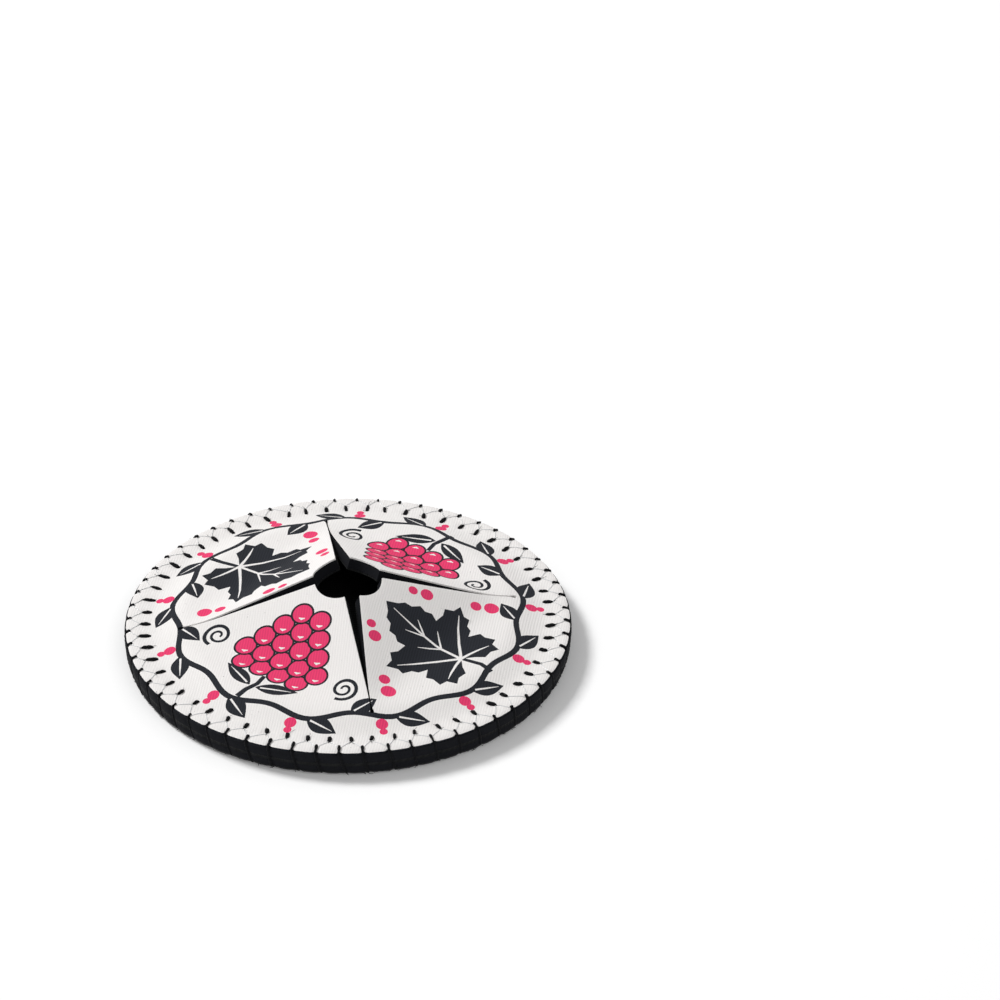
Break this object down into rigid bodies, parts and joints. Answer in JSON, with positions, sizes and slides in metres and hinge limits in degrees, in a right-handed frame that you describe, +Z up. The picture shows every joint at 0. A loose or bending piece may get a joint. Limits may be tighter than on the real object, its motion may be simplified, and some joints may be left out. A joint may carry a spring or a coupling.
{
  "type": "wine glass coaster",
  "caption": "Round slip-on foam coaster with a printed fabric face cut crosswise into folding flaps, a pocket for a glass foot, a grip underside and an over-edge zigzag stitch",
  "frame": {"origin": "Middle of the underside, on the surface that the coaster lies on", "axes": "+Z up out of the printed face, +X to the right and +Y away from the viewer of the picture; the crossed slits are turned 7 degrees from X and Y"},
  "size_m": [0.0998, 0.0998, 0.0174],
  "materials": {
    "printed_fabric": "fine knit jersey, printed in pink and black",
    "foam": "matt closed-cell foam rubber, knife cut",
    "lining": "matt black knit",
    "grip_skin": "semi-matt rubber with an embossed basket weave",
    "edge_thread": "spun black yarn",
    "face_thread": "clear monofilament"
  },
  "bodies": {
    "pocket": {"base_grip_skin": "grip_skin", "base_foam": "foam", "base_lining": "lining", "rim_lining": "lining", "rim_foam": "foam", "rim_face": "printed_fabric", "edge_thread": "edge_thread", "face_thread": "face_thread"},
    "flap_back_right": {"flap_back_right_face": "printed_fabric", "flap_back_right_foam": "foam", "flap_back_right_lining": "lining"},
    "flap_back_left": {"flap_back_left_face": "printed_fabric", "flap_back_left_foam": "foam", "flap_back_left_lining": "lining"},
    "flap_front_left": {"flap_front_left_face": "printed_fabric", "flap_front_left_foam": "foam", "flap_front_left_lining": "lining"},
    "flap_front_right": {"flap_front_right_face": "printed_fabric", "flap_front_right_foam": "foam", "flap_front_right_lining": "lining"}
  },
  "joints": [
    {"name": "flap_back_right_fold", "type": "hinge", "parent": "pocket", "child": "flap_back_right", "pos_m": [0.01513, 0.01936, 0.0079], "axis": [-0.788, 0.6157, 0], "range_deg": [-28, 62], "stiffness_Nm_per_rad": 0.0065},
    {"name": "flap_back_left_fold", "type": "hinge", "parent": "pocket", "child": "flap_back_left", "pos_m": [-0.01936, 0.01513, 0.0079], "axis": [-0.6157, -0.788, 0], "range_deg": [-28, 62], "stiffness_Nm_per_rad": 0.0065},
    {"name": "flap_front_left_fold", "type": "hinge", "parent": "pocket", "child": "flap_front_left", "pos_m": [-0.01513, -0.01936, 0.0079], "axis": [0.788, -0.6157, 0], "range_deg": [-28, 62], "stiffness_Nm_per_rad": 0.0065},
    {"name": "flap_front_right_fold", "type": "hinge", "parent": "pocket", "child": "flap_front_right", "pos_m": [0.01936, -0.01513, 0.0079], "axis": [0.6157, 0.788, 0], "range_deg": [-28, 62], "stiffness_Nm_per_rad": 0.0065}
  ]
}
